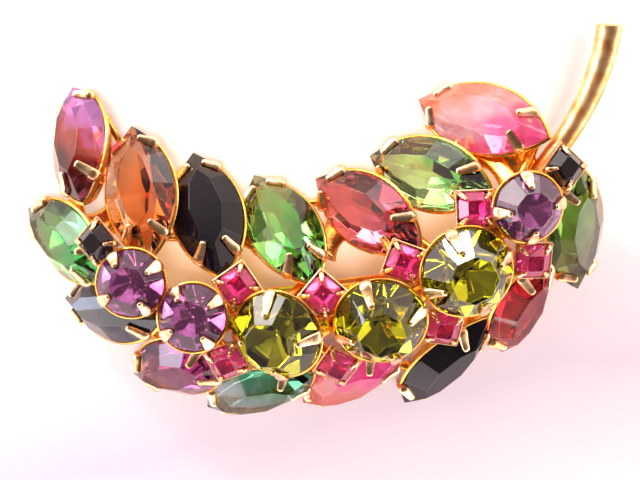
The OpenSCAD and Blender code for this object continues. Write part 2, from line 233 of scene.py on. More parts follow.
def bend_rod(points, flat=1.0):
    """A rod of changing radius through five or more points (x, y, z, radius), widened in y by flat."""
    bpy.ops.object.select_all(action="DESELECT")
    bpy.ops.curve.primitive_nurbs_path_add(location=(0, 0, 0))
    rod = bpy.context.object
    curve = rod.data
    spline = curve.splines[0]
    spline.points.add(len(points) - len(spline.points))
    for point, (x, y, z, radius) in zip(spline.points, points):
        point.co = (x, y, z, 1)
        point.radius = radius
    spline.order_u = 3
    spline.use_endpoint_u = True
    spline.resolution_u = 3
    curve.bevel_depth = 1
    curve.bevel_resolution = 3
    curve.use_fill_caps = True
    bpy.ops.object.convert(target="MESH")
    rod = bpy.context.object
    with editing(rod):
        bpy.ops.transform.resize(value=(1, flat, 1), center_override=(0, 0, 0))
    outward(rod)
    pick(rod)
    bpy.ops.object.shade_smooth()
    return rod


# Stones

def table_points(kind):
    if kind == "navette":
        x, y = NAVETTE_TABLE[0] * NAVETTE_L / 2, NAVETTE_TABLE[1] * NAVETTE_W / 2
        shoulder_x, shoulder_y = SHOULDER[0] * x, SHOULDER[1] * y
        half = [(x, 0), (shoulder_x, shoulder_y), (0, y), (-shoulder_x, shoulder_y)]
        return half + [(-a, -b) for a, b in half]
    reach = ROUND_TABLE * RADIUS[kind] / math.cos(math.pi / FACETS)
    angles = [(k - 0.5) * 2 * math.pi / FACETS for k in range(FACETS)]
    return [(reach * math.cos(a), reach * math.sin(a)) for a in angles]


def facet_rows(kind):
    """For each edge of the table: the way that it faces, and how far its facet reaches at the girdle."""
    points = table_points(kind)
    rows = []
    for k, (p, q) in enumerate(zip(points, points[1:] + points[:1])):
        facing = math.atan2(p[0] - q[0], q[1] - p[1])
        reach = p[0] * math.cos(facing) + p[1] * math.sin(facing)
        corner = SMALL_CORNER if kind == "small" and k % 2 else 0
        rows.append((facing, reach + RUN[kind] + corner))
    return rows


def crown_slope(kind):
    return math.atan((CROWN[kind] - GIRDLE / 2) / RUN[kind])


def crown_z(kind, x, y):
    """Height of the crown over a point."""
    rise = math.tan(crown_slope(kind))
    return min([CROWN[kind]] + [
        GIRDLE / 2 + (reach - x * math.cos(a) - y * math.sin(a)) * rise for a, reach in facet_rows(kind)])


def pavilion_h(kind):
    half = NAVETTE_W / 2 if kind == "navette" else RADIUS[kind]
    return GIRDLE / 2 + PAVILION_REACH * half * math.tan(PAVILION_SLOPE)


def girdle_reach(kind, facing):
    """How far the outline reaches in one direction."""
    if kind == "small":
        return RADIUS[kind] / max(abs(math.cos(facing)), abs(math.sin(facing)))
    if kind != "navette":
        return RADIUS[kind]
    along, across = abs(math.cos(facing)), abs(math.sin(facing))
    # The tip reaches furthest this way unless a point of the arc faces it.
    tip = NAVETTE_L / 2 * along
    arc = ARC_R - ARC_C * across if ARC_R * along < NAVETTE_L / 2 else 0
    return max(tip, arc)


def uncut_stone(kind):
    """The outline of the stone as an upright block, as high as the stone will be."""
    low, high = -pavilion_h(kind), CROWN[kind]
    if kind == "navette":
        return lens_wall(0, low, high)
    bpy.ops.object.select_all(action="DESELECT")
    bpy.ops.mesh.primitive_cylinder_add(
        vertices=ROUND_SIDES, radius=RADIUS[kind] + (SMALL_CORNER if kind == "small" else 0),
        depth=high - low, location=(0, 0, (low + high) / 2))
    stone = bpy.context.object
    bpy.ops.object.transform_apply(location=True)
    if kind == "small":
        for side in ((1, 0, 0), (0, 1, 0), (-1, 0, 0), (0, -1, 0)):
            slice_off(stone, RADIUS[kind] * Vector(side), side)
    return stone


def cut_stone(kind):
    """A table, a ring of crown facets and a pavilion whose lower halves lie between its main facets."""
    stone = uncut_stone(kind)
    slope = crown_slope(kind)
    up = Vector((0, 0, 1))
    for facing, reach in facet_rows(kind):
        out = Vector((math.cos(facing), math.sin(facing), 0))
        slice_off(stone, out * reach + up * GIRDLE / 2, out * math.sin(slope) + up * math.cos(slope))
        slice_off(stone, out * reach - up * GIRDLE / 2,
                  out * math.sin(PAVILION_SLOPE) - up * math.cos(PAVILION_SLOPE))
        # The lower halves of the pavilion are cut steeper, halfway between the main facets.
        between = facing + math.pi / FACETS
        side = Vector((math.cos(between), math.sin(between), 0))
        steep = PAVILION_SLOPE + LOWER_STEEPER
        slice_off(stone, side * girdle_reach(kind, between) - up * GIRDLE / 2,
                  side * math.sin(steep) - up * math.cos(steep))
    with editing(stone):
        bpy.ops.mesh.remove_doubles(threshold=1e-3)
        bpy.ops.mesh.dissolve_limited(angle_limit=math.radians(0.2))
        bpy.ops.mesh.normals_make_consistent(inside=False)
    round_edges(stone, ARRIS, segments=1, angle=ARRIS_ANGLE)
    return stone


# Settings

def plated(obj, material):
    obj.data.materials.clear()
    obj.data.materials.append(material)
    return obj


def claw(foot, tip, width, thick, kind, taper=0.3):
    """A finger that stands on the cup's wall at the point foot and lies on the crown up to the point tip.
    Its tip is narrower than its foot by the share taper."""
    foot, tip = Vector(foot), Vector(tip)
    run = (foot - tip).length
    way = (foot - tip) / run

    def over(share):
        p = tip + (foot - tip) * share
        return crown_z(kind, p.x, p.y)

    half = thick / 2
    lie = half / math.cos(crown_slope(kind)) + CLAW_LIFT
    # Each point's place outwards, its height, and the claw's thickness there as a share
    in_cup = [(CLAW_CLEAR - 0.75, -1.7, 0.7), (CLAW_CLEAR - 0.3, -0.9, 1), (CLAW_CLEAR, -0.25, 1)]
    bend = [(CLAW_CLEAR + 0.08, over(1) + 0.1, 1), (CLAW_CLEAR - 0.12, over(1) + lie + 0.16, 1)]
    on_crown = [(-0.3 * run, over(0.7) + lie + 0.06, 1), (-0.7 * run, over(0.3) + lie, 1)]
    end = [(0.1 - run, over(0) + lie, 0.95), (-0.08 - run, over(0) + lie * 0.9, 0.75),
           (-0.16 - run, over(0) + lie * 0.75, 0.1)]
    rod = bend_rod([(x, 0, z, half * share) for x, z, share in in_cup + bend + on_crown + end],
                   flat=width / thick)
    for vertex in rod.data.vertices:
        share = min(1, max(0, -vertex.co.x / run))
        vertex.co.y *= 1 - taper * share
    turn = Matrix.Rotation(math.atan2(way.y, way.x), 4, "Z")
    rod.data.transform(Matrix.Translation((foot.x, foot.y, 0)) @ turn)
    return plated(rod, gold)


def arc_y(x, grow=0):
    return math.sqrt((ARC_R + grow) ** 2 - x * x) - ARC_C


def navette_cup():
    """A drawn-in band that is open at the outer tip, with four long claws."""
    band = lens_wall(GAP + WALL, -NAVETTE_CUP_H, -SEAT, ends="NOTHING")
    # The foot is drawn in to a smaller lens.
    top_r, low_r = ARC_R + GAP + WALL, ARC_R + WALL - DRAW_IN
    shrink_x = math.sqrt(low_r ** 2 - ARC_C ** 2) / math.sqrt(top_r ** 2 - ARC_C ** 2)
    shrink_y = (low_r - ARC_C) / (NAVETTE_W / 2 + GAP + WALL)
    with editing(band):
        select_where(band, "VERT", lambda v: v.co.z < BULGE_Z)
        bpy.ops.transform.resize(value=(shrink_x, shrink_y, 1), center_override=(0, 0, 0))
        bpy.ops.mesh.select_all(action="SELECT")
        bpy.ops.mesh.bisect(plane_co=(0, 0, BULGE_Z), plane_no=(0, 0, 1))
        select_where(band, "VERT", lambda v: abs(v.co.z - BULGE_Z) < NEAR)
        bpy.ops.transform.resize(value=BULGE, center_override=(0, 0, 0))
        bpy.ops.mesh.select_all(action="SELECT")
        bpy.ops.mesh.bisect(plane_co=TIP_CUT, plane_no=TIP_CUT_WAY, clear_outer=True)
    apply_modifier(band, "SOLIDIFY", thickness=WALL, offset=-1)
    outward(band)
    round_edges(band, CUP_EDGE, angle=40)
    claws = []
    for side in (1, -1):
        for x, (tip_x, tip_y) in NAVETTE_CLAWS:
            claws.append(claw((x, side * arc_y(x)), (tip_x, side * tip_y), *CLAW_SIZE["navette"], "navette"))
    return joined(claws + [plated(band, shaded_gold)])


def foot_r(kind):
    return (SMALL_FOOT_SHARE if kind == "small" else FOOT_SHARE) * (RADIUS[kind] + GAP)


def cup_h(kind):
    return NAVETTE_CUP_H if kind == "navette" else pavilion_h(kind) + CUP_FLOOR


def band_of(sides, top_r, low_r, height, wall):
    """A funnel from just under the girdle down to the foot."""
    bpy.ops.object.select_all(action="DESELECT")
    bpy.ops.mesh.primitive_cone_add(
        vertices=sides, radius1=low_r, radius2=top_r, depth=height - SEAT, end_fill_type="NOTHING",
        location=(0, 0, -(height + SEAT) / 2))
    band = bpy.context.object
    bpy.ops.object.transform_apply(location=True)
    apply_modifier(band, "SOLIDIFY", thickness=wall, offset=-1)
    outward(band)
    return band


def round_cup(kind):
    """A funnel with four broad claws that narrow to their tips."""
    r = RADIUS[kind]
    band = band_of(CUP_SIDES, r + GAP + WALL, foot_r(kind) + WALL, cup_h(kind), WALL)
    round_edges(band, CUP_EDGE, angle=40)
    parts = [plated(band, shaded_gold)]
    for k in range(4):
        turn = Matrix.Rotation(k * math.pi / 2, 2)
        parts.append(claw(turn @ Vector((r, 0)), turn @ Vector((ROUND_CLAW_TIP * r, 0)), *CLAW_SIZE["round"],
                          kind, taper=0.5))
    return joined(parts)


def small_cup():
    """A square cup with a bead-like claw at each corner and a thin wire from claw to claw."""
    r = RADIUS["small"]
    side, foot_side = r + GAP + SMALL_WALL, foot_r("small") + SMALL_WALL
    band = band_of(4, side * math.sqrt(2), foot_side * math.sqrt(2), cup_h("small"), SMALL_WALL)
    with editing(band):
        bpy.ops.transform.rotate(value=math.pi / 4, orient_axis="Z", center_override=(0, 0, 0))
    round_edges(band, SMALL_CUP_EDGE)
    parts = [plated(band, shaded_gold)]
    for k in range(4):
        turn = Matrix.Rotation(math.pi / 4 + k * math.pi / 2, 2)
        parts.append(claw(turn @ Vector((r + SMALL_CLAW_OUT, 0)), turn @ Vector((SMALL_CLAW_TIP * r, 0)),
                          *CLAW_SIZE["small"], "small"))
        rim = bend_rod([(side - RIM_IN, share * side, RIM_Z, RIM_R) for share in (-1, -0.5, 0, 0.5, 1)])
        rim.data.transform(Matrix.Rotation(k * math.pi / 2, 4, "Z"))
        parts.append(plated(rim, gold))
    return joined(parts)


def place_of(stone):
    return Vector((stone.x, stone.y, stone.z))


def turned(stone):
    """From a stone's own axes, in millimetres, to the stone table's."""
    return (Matrix.Translation(place_of(stone))
            @ Matrix.Rotation(math.radians(stone.heading), 4, "Z")
            @ Matrix.Rotation(math.radians(stone.pitch), 4, "Y")
            @ Matrix.Rotation(math.radians(stone.roll), 4, "X")
            @ Matrix.Rotation(math.radians(stone.turn), 4, "Z"))


def axis_of(stone):
    """The way that the stone's table faces."""
    return (turned(stone).to_3x3() @ Vector((0, 0, 1))).normalized()


def across_axis(way, axis):
    """The part of a way that lies across an axis."""
    return (way - way.dot(axis) * axis).normalized()


TO_FRAME = Matrix.Scale(MM, 4) @ Matrix.Translation(-MIDDLE)


# Wires and solder. The cups are numbered from 0, in the order of the stone table.
# A side wire meets the walls of two navette cups, at a place x along each and a height z.
LEFT, RIGHT = 1, -1
SIDE_WIRES = [
    # navette, x, side, z, navette, x, side, z
    (0, 3.5, RIGHT, -1.9, 1, 6.5, LEFT, -1.3),
    (1, -6, RIGHT, -1.9, 2, -2, LEFT, -1.4),
    (2, -2, RIGHT, -1.9, 3, 3, LEFT, -1.3),
    (3, 3.5, RIGHT, -1.9, 4, 6.5, LEFT, -1.3),
    (4, 5.5, RIGHT, -1.9, 5, 6.5, LEFT, -1.3),
    (5, -1, RIGHT, -1.9, 6, 2, LEFT, -1.3),
    (0, -5, LEFT, -1.9, 8, 0.5, RIGHT, -1.3),
    (1, -3.5, LEFT, -1.3, 8, -4, RIGHT, -1.9),
    (8, 1, LEFT, -1.9, 9, 5.5, RIGHT, -1.3),
    (9, -4, LEFT, -1.9, 10, 1, RIGHT, -1.3),
    (10, -2.5, LEFT, -1.9, 11, 3.5, RIGHT, -1.3),
    (11, -6.5, LEFT, -1.9, 12, 3, RIGHT, -1.3),
    (12, -5, LEFT, -1.3, 13, 3, RIGHT, -1.3),
    (14, -3.5, LEFT, -1.3, 7, 4, RIGHT, -1.3),
]
# An under wire joins the feet of two round or small cups, or such a foot and a navette cup's inner end.
UNDER_WIRES = [
    (15, 16), (16, 17), (17, 18), (18, 19), (19, 20),
    (1, 15), (8, 15), (10, 17), (3, 17), (4, 19), (5, 20), (6, 20), (7, 20), (12, 18),
    (21, 16), (22, 18), (23, 19), (24, 20), (25, 19), (14, 25),
    (26, 16), (27, 17), (11, 27), (28, 19), (13, 28), (29, 15), (30, 20),
]

# Solder between the walls of two navette cups
WEBS = [
    # navette, x, side, navette, x, width
    (0, -3.5, LEFT, 8, 2, 3),
    (2, -3.6, RIGHT, 3, 0.4, 2.4),
    (5, -2.6, RIGHT, 6, -0.8, 4),
    (3, -4.5, RIGHT, 4, 3, 3.5),
    (8, -2.4, RIGHT, 1, -1.3, 3.5),
]
WEB_Z, WEB_T = -1.3, 0.7
# Solder between the walls of two round cups
STRAPS = [(16, 17), (17, 18), (18, 19), (19, 20)]
STRAP_W, STRAP_Z = 2.6, -1.9
# The thickness of solder along its run, both as shares, and at its ends, which lap on to what it joins
SOLDER_WAIST = [(0.12, 1.25), (0.3, 1), (0.5, 0.92), (0.7, 1), (0.88, 1.25)]
SOLDER_LAP, SOLDER_END = 0.1, 1.5
# The fillet at a wire's end: its longest run, its run as a share of the wire, and the thickness at both ends
FILLET, FILLET_SHARE = 1.0, 0.3
FILLET_STEPS = [(0, 1.45), (0.4, 1.2), (1, 1)]
WIRE_WAIST = 0.96
# Where a wire ends: in a navette cup's inner end, and sunk in a round cup's foot
NAVETTE_FOOT = Vector((-7.1, 0, -2.3))
FOOT_SINK = 0.1


def in_wall(i, x, side, z):
    """The middle of navette cup i's wall, at a place x along it, on one side and at a height z."""
    share = (-z - SEAT) / (NAVETTE_CUP_H - SEAT)
    grow = WALL / 2 + (1 - share) * GAP - share * DRAW_IN
    return turned(STONES[NAMES[i]]) @ Vector((x, side * arc_y(x, grow), z))


def in_foot(i, j):
    """The place in cup i's foot where a wire to cup j ends."""
    stone, other = STONES[NAMES[i]], STONES[NAMES[j]]
    if stone.kind == "navette":
        return turned(stone) @ NAVETTE_FOOT
    floor_middle = turned(stone) @ Vector((0, 0, -FOOT_SINK - cup_h(stone.kind)))
    out = across_axis(place_of(other) - place_of(stone), axis_of(stone))
    return floor_middle + (foot_r(stone.kind) - FOOT_SINK) * out


def wire(a, b, d):
    """A wire with a fillet of solder at each end."""
    fillet = min(FILLET, (b - a).length * FILLET_SHARE)
    along = (b - a).normalized()
    r = d / 2
    start = [(*(a + along * fillet * share), r * thick) for share, thick in FILLET_STEPS]
    end = [(*(b - along * fillet * share), r * thick) for share, thick in reversed(FILLET_STEPS)]
    return bend_rod(start + [(*((a + b) / 2), r * WIRE_WAIST)] + end)


def at_wall(i, j, z):
    """The middle of round cup i's wall, on the side towards cup j, and the cup's axis."""
    stone, other = STONES[NAMES[i]], STONES[NAMES[j]]
    cup_middle = turned(stone) @ Vector((0, 0, z))
    axis = axis_of(stone)
    top = RADIUS[stone.kind] + GAP
    r = top + WALL / 2 - (top - foot_r(stone.kind)) * (-z - SEAT) / (cup_h(stone.kind) - SEAT)
    return cup_middle + r * across_axis(place_of(other) - cup_middle, axis), axis


def solder(a, b, up, width):
    """A strip that flows out on to what it joins: wide and thick at both ends, and waisted between them."""
    run = (b - a).length
    half = WEB_T / 2
    waist = [(run * share, 0, 0, half * thick) for share, thick in SOLDER_WAIST]
    start, end = (-SOLDER_LAP, 0, 0, half * SOLDER_END), (run + SOLDER_LAP, 0, 0, half * SOLDER_END)
    strip = bend_rod([start] + waist + [end], flat=width / WEB_T)
    x = (b - a).normalized()
    y = up.cross(x).normalized()
    z = x.cross(y)
    axes = Matrix((x, y, z)).transposed().to_4x4()
    strip.data.transform(Matrix.Translation(a) @ axes)
    return strip


# The curve that the stem follows, as the four points of a Bezier curve from its cut end, and its end radii
STEM = [Vector(point) for point in ((33.5, 26.7, 14), (33.3, 18.5, 12.5), (29.8, 12, 8.9), (26.6, 8.2, 8.4))]
STEM_R = (1.5, 1.2)
# The rim round the dimple in the cut, the dimple's slanted side and depth, and the rounding of the edge
STEM_RIM, DIMPLE_SIDE, DIMPLE_DEPTH, STEM_EDGE = 0.12, 0.35, 0.12, 0.08


def stem():
    """A tapered rod with a square cut end and a shallow dimple in the cut."""
    bpy.ops.object.select_all(action="DESELECT")
    bpy.ops.curve.primitive_bezier_curve_add(location=(0, 0, 0))
    rod = bpy.context.object
    start, end = rod.data.splines[0].bezier_points
    for point in (start, end):
        point.handle_left_type = point.handle_right_type = "FREE"
    start.co, start.handle_right, start.handle_left = STEM[0], STEM[1], 2 * STEM[0] - STEM[1]
    end.co, end.handle_left, end.handle_right = STEM[3], STEM[2], 2 * STEM[3] - STEM[2]
    start.radius, end.radius = STEM_R
    rod.data.bevel_depth = 1
    rod.data.bevel_resolution = 8
    rod.data.use_fill_caps = True
    rod.data.resolution_u = 40
    bpy.ops.object.convert(target="MESH")
    rod = bpy.context.object
    outward(rod)
    with editing(rod, "FACE"):
        # The face of the cut lies round the curve's first point.
        select_where(rod, "FACE", lambda f: (f.center - STEM[0]).length < NEAR)
        bpy.ops.mesh.inset(thickness=STEM_RIM, depth=0)
        bpy.ops.mesh.inset(thickness=DIMPLE_SIDE, depth=-DIMPLE_DEPTH)
    round_edges(rod, STEM_EDGE, angle=50)
    smooth_faces(rod)
    return rod


# The strip that carries the pin, from the hinge to the catch: its width and thickness, how far it runs on
# past them, and the rounding of its edges
STRIP_FROM, STRIP_TO = Vector((-17, -9, 7.9)), Vector((18, -4.6, 7.9))
STRIP_W, STRIP_T, STRIP_PAST, STRIP_EDGE = 2.4, 0.8, 1, 0.2
# The hinge block and the catch from above, and how far they reach up into the strip
POST, POST_LAP, POST_EDGE = (2, 1.8), 0.2, 0.35
# How far the pin hangs under the strip, its radius, and how far its ends stand out past the posts' middles
PIN_DROP, PIN_R, PIN_HEEL, PIN_POINT = 5.6, 0.5, 0.6, 0.8
# The hinge's rivet, and how much longer it is than the block is wide
RIVET_R, RIVET_PAST, RIVET_EDGE = 0.45, 0.3, 0.12


def edged_box(low, high, edge):
    """A box between two corners, with rounded edges."""
    low, high = Vector(low), Vector(high)
    bpy.ops.object.select_all(action="DESELECT")
    bpy.ops.mesh.primitive_cube_add(size=1, location=(low + high) / 2, scale=high - low)
    box = bpy.context.object
    bpy.ops.object.transform_apply(location=True, scale=True)
    round_edges(box, edge, segments=3)
    return box


def hinge_rivet(z):
    bpy.ops.object.select_all(action="DESELECT")
    bpy.ops.mesh.primitive_cylinder_add(
        vertices=32, radius=RIVET_R, depth=POST[1] + RIVET_PAST, location=(0, 0, z),
        rotation=(math.pi / 2, 0, 0))
    rivet = bpy.context.object
    bpy.ops.object.transform_apply(location=True, rotation=True)
    round_edges(rivet, RIVET_EDGE, segments=3)
    return rivet


def pin_clasp():
    """A strip under the leaf with a hinge block and a catch, and the closed pin between them."""
    way = STRIP_TO - STRIP_FROM
    run = way.length
    foot = -PIN_DROP - 2 * PIN_R
    parts = [edged_box((-STRIP_PAST, -STRIP_W / 2, 0), (run + STRIP_PAST, STRIP_W / 2, STRIP_T), STRIP_EDGE)]
    for x in (0, run):
        low, high = (x - POST[0] / 2, -POST[1] / 2, foot), (x + POST[0] / 2, POST[1] / 2, POST_LAP)
        parts.append(edged_box(low, high, POST_EDGE))
    # The pin thins out only at its point.
    pin = [(-PIN_HEEL, 1), (run * 0.3, 1), (run * 0.8, 1), (run, 0.95), (run + PIN_POINT, 0.6)]
    parts.append(bend_rod([(x, 0, -PIN_DROP, PIN_R * share) for x, share in pin]))
    piece = plated(joined(parts + [hinge_rivet(-PIN_DROP)]), shaded_gold)
    turn = Matrix.Rotation(math.atan2(way.y, way.x), 4, "Z")
    piece.data.transform(Matrix.Translation(STRIP_FROM) @ turn)
    piece.name = piece.data.name = "pin_and_strip"
    smooth_faces(piece)
    return piece


# Materials

def linear(hex_colour):
    """An sRGB hex colour as linear light."""
    parts = [int(hex_colour[k:k + 2], 16) / 255 for k in (1, 3, 5)]
    return [c / 12.92 if c <= 0.04045 else ((c + 0.055) / 1.055) ** 2.4 for c in parts] + [1.0]


def add_node(tree, kind, inputs=(), **settings):
    """A node with its settings. Each input is a value, or the output socket that feeds it."""
    node = tree.nodes.new(kind)
    for key, value in settings.items():
        setattr(node, key, value)
    for key, value in dict(inputs).items():
        if isinstance(value, bpy.types.NodeSocket):
            tree.links.new(value, node.inputs[key])
        else:
            node.inputs[key].default_value = value
    return node


def new_material(name, shader):
    """A material with one Principled shader, which has the values given."""
    material = bpy.data.materials.new(name)
    material.use_nodes = True
    tree = material.node_tree
    tree.nodes.clear()
    bsdf = add_node(tree, "ShaderNodeBsdfPrincipled", shader)
    out = add_node(tree, "ShaderNodeOutputMaterial")
    tree.links.new(bsdf.outputs[0], out.inputs["Surface"])
    return material, tree, bsdf


def ramp(tree, factor, stops):
    """Colours along a factor, each with its place on it."""
    node = add_node(tree, "ShaderNodeValToRGB", {"Fac": factor})
    elements = node.color_ramp.elements
    while len(elements) < len(stops):
        elements.new(0.5)
    for element, (place, colour) in zip(elements, stops):
        element.position = place
        element.color = colour
    return node.outputs["Color"]


def polished_gold_plate(name, shade, bright, roughness):
    """Brass, plated with gold and barrel-polished: warm orange where it reflects itself, cream in the light,
    with faint ripples from the polishing. Its colour wanders in blotches between the shade colour, painted
    shade, and the bright one, painted light."""
    material, tree, bsdf = new_material(name, {"Metallic": 1.0})
    place = add_node(tree, "ShaderNodeTexCoord").outputs["Object"]
    # Blotches about 3 mm across
    blotch = add_node(tree, "ShaderNodeTexNoise", {
        "Vector": place, "Scale": 330, "Detail": 3, "Roughness": 0.6})
    colour = ramp(tree, blotch.outputs["Fac"], [(0.3, linear(shade)), (0.62, linear(bright))])
    tree.links.new(colour, bsdf.inputs["Base Color"])
    # Smears about 1 mm across
    smear = add_node(tree, "ShaderNodeTexNoise", {"Vector": place, "Scale": 1000, "Detail": 4})
    rough = add_node(tree, "ShaderNodeMapRange", {
        "Value": smear.outputs["Fac"], "From Min": 0.3, "From Max": 0.75,
        "To Min": roughness, "To Max": roughness + 0.14})
    tree.links.new(rough.outputs["Result"], bsdf.inputs["Roughness"])
    # Ripples half a millimetre apart and up to 0.03 mm deep
    ripple = add_node(tree, "ShaderNodeTexNoise", {"Vector": place, "Scale": 2000, "Detail": 2})
    bump = add_node(tree, "ShaderNodeBump", {
        "Height": ripple.outputs["Fac"], "Strength": 0.16, "Distance": 2e-4})
    tree.links.new(bump.outputs["Normal"], bsdf.inputs["Normal"])
    return material


# Glass of the foiled stones is rich in lead, and that of the navettes isn't.
# The dark stones mirror less of the room in the photo than such glass would.
LEAD_GLASS_IOR, GLASS_IOR, DARK_GLASS_IOR = 1.62, 1.52, 1.42
# The outer colour of a navette reaches back along its left side, this far for each millimetre across.
SLANT = 1.4
# The places of the first and last colour on their ramp
FIRST_STOP, LAST_STOP = 0.15, 0.85


def pressed_glass(name, colours, stone=None, clear=1.0, ior=LEAD_GLASS_IOR, slant=SLANT):
    """Pressed and fire-polished glass, coloured in the melt: a hard gloss over a deep colour.
    On a navette the colours run from its inner to its outer end, with streaks: partly the glass's own
    colour, and partly painted light, for how light gathers in it."""
    material, tree, bsdf = new_material(name, {
        "Metallic": 0.0, "Roughness": 0.02, "IOR": ior, "Transmission Weight": clear})
    place = add_node(tree, "ShaderNodeTexCoord").outputs["Object"]
    if stone:
        own = TO_FRAME @ turned(stone)
        local = add_node(tree, "ShaderNodeMapping", {
            "Vector": place, "Location": own.to_translation(), "Rotation": own.to_euler(),
            "Scale": (MM, MM, MM)}, vector_type="TEXTURE").outputs["Vector"]
        # Streaks some 4 mm apart, which shift the colours by up to 4 mm
        streak = add_node(tree, "ShaderNodeTexNoise", {"Vector": local, "Scale": 0.28, "Detail": 2})
        shift = add_node(tree, "ShaderNodeMapRange", {
            "Value": streak.outputs["Fac"], "From Min": 0.3, "From Max": 0.7, "To Min": -4, "To Max": 4})
        parts = add_node(tree, "ShaderNodeSeparateXYZ", {"Vector": local})
        along = add_node(tree, "ShaderNodeMath", {
            0: parts.outputs["Y"], 1: slant, 2: parts.outputs["X"]}, operation="MULTIPLY_ADD")
        mixed = add_node(tree, "ShaderNodeMath", {0: along.outputs[0], 1: shift.outputs[0]}, operation="ADD")
        share = add_node(tree, "ShaderNodeMapRange", {
            "Value": mixed.outputs[0], "From Min": -NAVETTE_L / 2, "From Max": NAVETTE_L / 2,
            "To Min": 0, "To Max": 1})
        factor = share.outputs["Result"]
    else:
        # Clouds about 3 mm across
        cloud = add_node(tree, "ShaderNodeTexNoise", {"Vector": place, "Scale": 300, "Detail": 1})
        factor = cloud.outputs["Fac"]
    step = (LAST_STOP - FIRST_STOP) / max(1, len(colours) - 1)
    colour = ramp(tree, factor, [(FIRST_STOP + k * step, linear(c)) for k, c in enumerate(colours)])
    tree.links.new(colour, bsdf.inputs["Base Color"])
    return material


def foil_backing(name, colour):
    """Metal foil under lacquer on the back of a stone. Through the glass it throws the light back, with
    crinkles over a millimetre across that pale its colour."""
    material, tree, bsdf = new_material(name, {"Metallic": 1.0, "Roughness": 0.06})
    place = add_node(tree, "ShaderNodeTexCoord").outputs["Object"]
    crinkle = add_node(tree, "ShaderNodeTexNoise", {"Vector": place, "Scale": 700, "Detail": 2})
    tint = ramp(tree, crinkle.outputs["Fac"], [(0.35, linear(colour)), (0.7, linear("#f4f0e8"))])
    tree.links.new(tint, bsdf.inputs["Base Color"])
    return material


# The claws and the small cups' rim wires get a paler gold, painted light for their lit tops; the cups,
# wires, solder, strip and pin get a darker orange gold, painted shade for the parts that lie lower; and the
# drawn stem is satiny.
gold = polished_gold_plate("gold_plate_painted_light", "#f4b474", "#ffe0b4", 0.2)
shaded_gold = polished_gold_plate("gold_plate_painted_shade", "#ec9830", "#ffc868", 0.18)
satin_gold = polished_gold_plate("gold_plate_drawn", "#f49438", "#ffdca0", 0.3)

# Colours of each navette, from its inner end to its outer one, with painted light in the paler ones
NAVETTE_COLOURS = {
    "navette_01": ["#481414", "#b8482c", "#d088e0"],
    "navette_02": ["#cc7438", "#e08c4c", "#c8a080"],
    "navette_03": ["#08070c", "#0c0c16", "#180e12"],
    "navette_04": ["#3cb850", "#7cd060", "#a0b868"],
    "navette_05": ["#a83c74", "#d06c70", "#c85c50"],
    "navette_06": ["#48c058", "#c8f0a0", "#a0ac80"],
    "navette_07": ["#ff68b4", "#ffdcec", "#ffa080"],
    "navette_08": ["#5ca040", "#9cbc50", "#808040"],
    "navette_09": ["#28b050", "#78c860", "#98b090"],
    "navette_10": ["#101016", "#262831", "#5c565c"],
    "navette_11": ["#880c58", "#904484", "#c49498"],
    "navette_12": ["#309c58", "#8cbcb4", "#ccd4e0"],
    "navette_13": ["#ff60c4", "#f89cac", "#f08450"],
    "navette_14": ["#0c0a10", "#15141c", "#201418"],
    "navette_15": ["#a80c28", "#a81420", "#f07048"],
}
# How clear the glass is: the navy stones are opaque, and some others are a little milky.
CLEAR = {"navette_01": 0.8, "navette_03": 0.0, "navette_07": 0.78, "navette_10": 0.6, "navette_13": 0.75,
         "navette_14": 0.0}
# Stones no clearer than this count as dark ones.
DARK_CLEAR = 0.6
# The navettes whose outer colour reaches back along their right side
SLANTED_RIGHT = ("navette_01", "navette_07")

# The colours of the glass, the colour of the foil, and how clear the glass is
Foiled = namedtuple("Foiled", "glass foil clear")
FOILED = {
    "amethyst": Foiled(["#7c4478", "#986090"], "#c8b0c0", 0.85),
    "olivine": Foiled(["#949810", "#b8bc30"], "#f0f0c8", 1.0),
    "fuchsia": Foiled(["#c42468", "#e86094"], "#ffe0f0", 0.6),
    "plum": Foiled(["#1c0c18", "#2c1826"], "#806878", 0.75),
}
# The small stones look milky at the crown, and their tables are clearer. The tables' glass is also darker:
# painted shade, for the darker look down through the table.
SHADED_SMALL_TABLES = {"fuchsia": ["#a40c4c", "#cc2c70"], "plum": ["#100810", "#1c0c18"]}
SMALL_TABLE_CLEAR = 0.85
FAMILY = {
    "amethyst": ["chaton_01", "chaton_02", "chaton_06"],
    "olivine": ["chaton_03", "chaton_04", "chaton_05"],
    "fuchsia": [f"small_chaton_0{k}" for k in range(1, 9)],
    "plum": ["small_chaton_09", "small_chaton_10"],
}
# A foiled stone's materials, in their order on it
GLASS_SLOT, FOIL_SLOT, TABLE_SLOT = 0, 1, 2
# A face whose normal rises less than the first along the stone's axis is foiled, and one whose normal rises
# more than the second belongs to the table.
BACK_RISE, TABLE_RISE = -0.3, 0.99


def hand_over(piece, node):
    """The piece moves with the frame and stands for the node, which is hidden."""
    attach(piece, "root")
    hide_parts(node)


# The camera looks down on the brooch, ten degrees from straight above, as the photo does.
CAMERA_TILT = math.radians(10)
CAMERA_DISTANCE = 113
TARGET = Vector((0, 0, 6))
PHOTO_WIDTH, FOCAL_PIXELS, SENSOR = 640, 870, 36
camera_data = bpy.data.cameras.new("camera")
camera_data.sensor_width = SENSOR
camera_data.lens = SENSOR * FOCAL_PIXELS / PHOTO_WIDTH
camera_data.clip_start = 0.005
camera = bpy.data.objects.new("camera", camera_data)
camera_place = TARGET + CAMERA_DISTANCE * Vector((0, math.sin(CAMERA_TILT), math.cos(CAMERA_TILT)))
camera.location = TO_FRAME @ camera_place
camera.rotation_euler = (-CAMERA_TILT, 0, 0)
bpy.context.scene.collection.objects.link(camera)
bpy.context.scene.camera = camera


# The stones in their places

